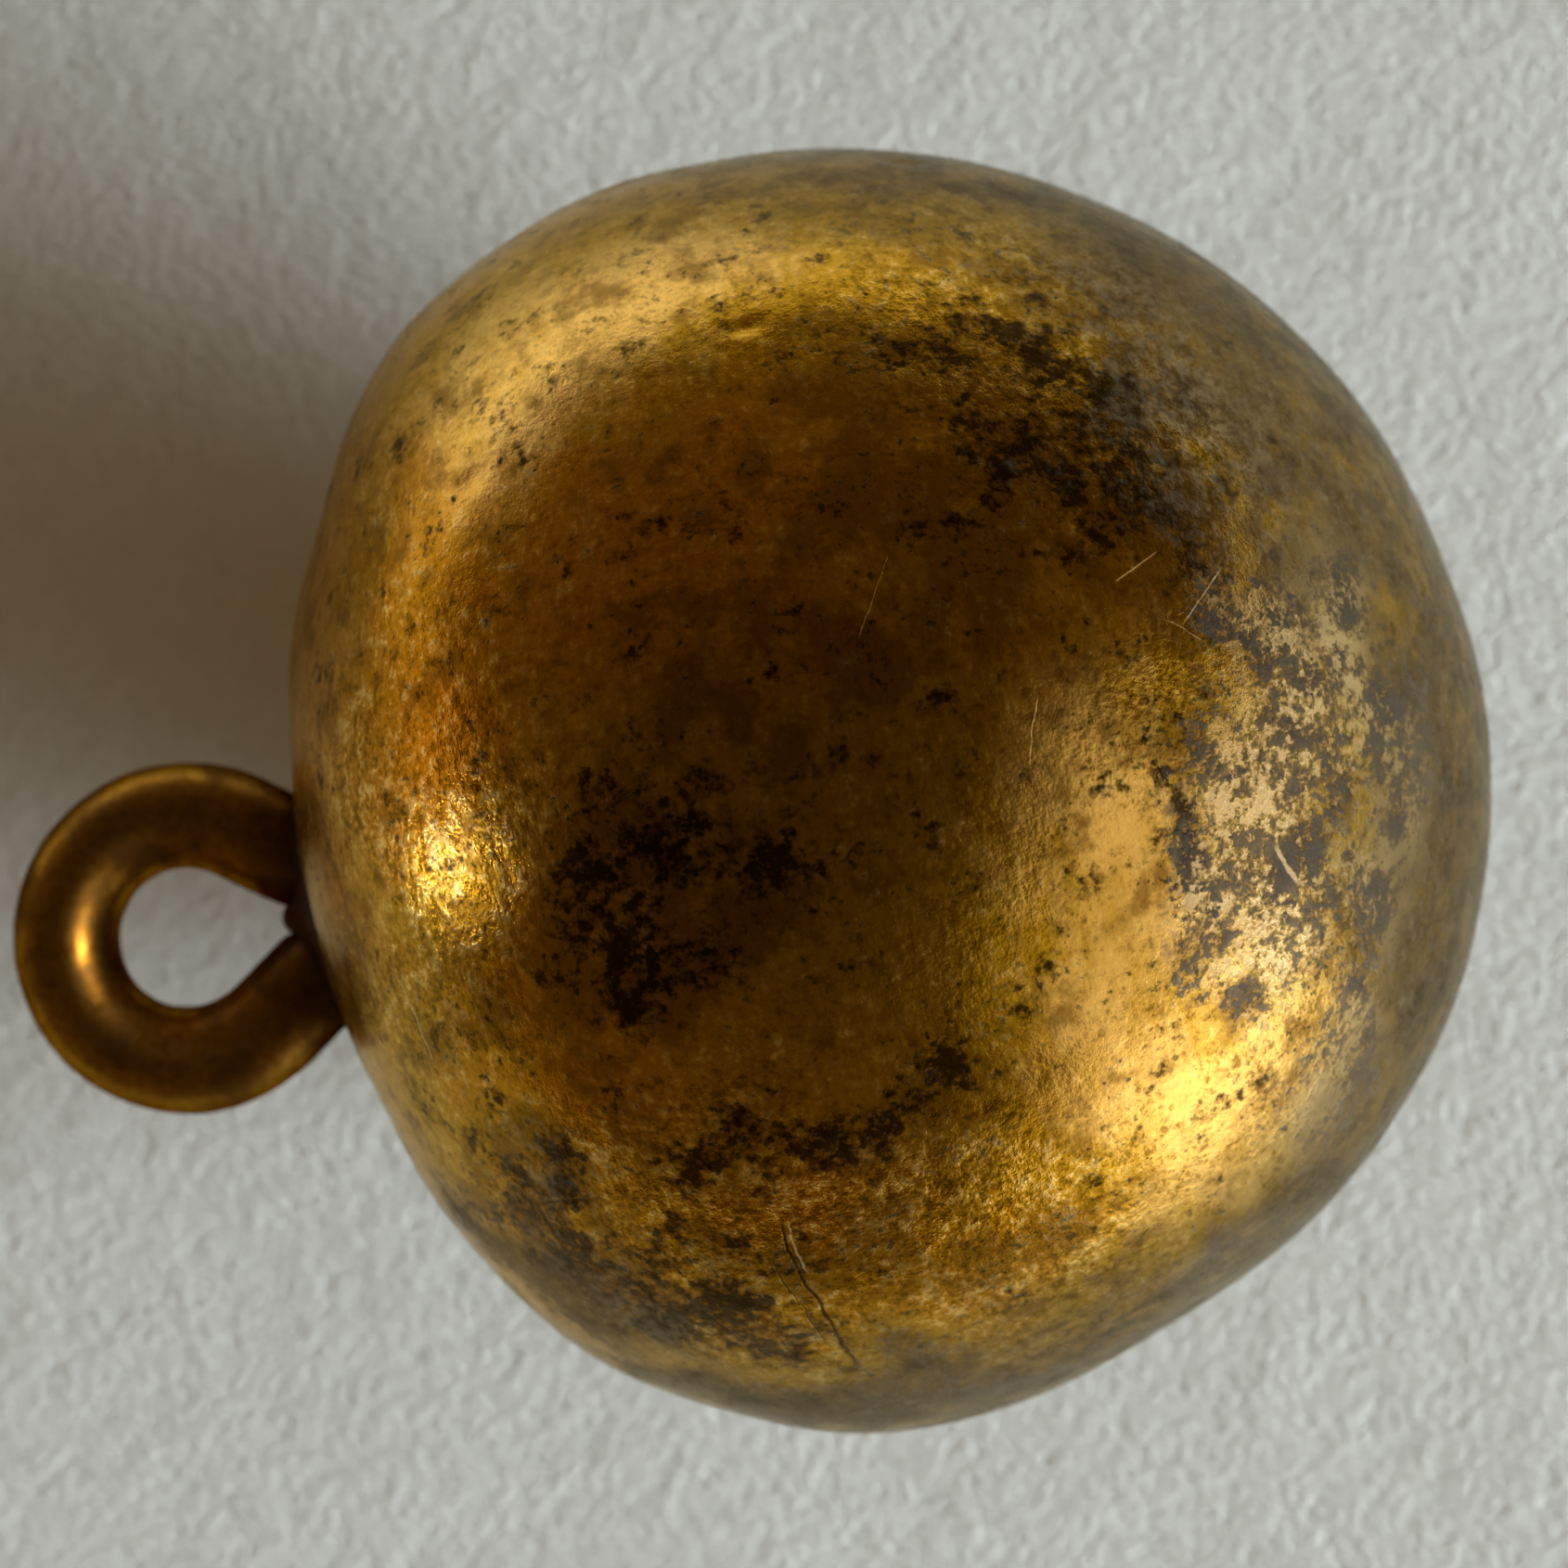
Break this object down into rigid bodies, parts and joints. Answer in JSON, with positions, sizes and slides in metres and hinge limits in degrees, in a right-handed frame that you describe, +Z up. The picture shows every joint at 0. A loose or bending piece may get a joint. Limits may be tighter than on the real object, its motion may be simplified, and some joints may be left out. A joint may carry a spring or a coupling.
{
  "type": "ball button with wire shank",
  "caption": "Hollow gilt-brass ball button of soldered shells, with a wire loop shank brazed to its back for sewing on.",
  "frame": {"origin": "centre of the shank's eye", "axes": "+X along the button's axis from the shank to the face, +Z up with the button lying on its side and the loop lying flat"},
  "size_m": [0.0158, 0.0134, 0.0134],
  "materials": {
    "gilt_shell": "worn gilt over brass, mottled with dark tarnish, fine turned grain, pits and scratches",
    "solder": "dull pale solder, hidden inside the lap joint",
    "shank_wire": "smooth drawn wire, gilt worn to dark brown-gold",
    "braze": "dull darkened brazing metal"
  },
  "bodies": {
    "root": {"front_shell": "gilt_shell", "back_shell": "gilt_shell", "seam_solder": "solder", "shank_loop": "shank_wire", "shank_braze": "braze"}
  },
  "joints": []
}
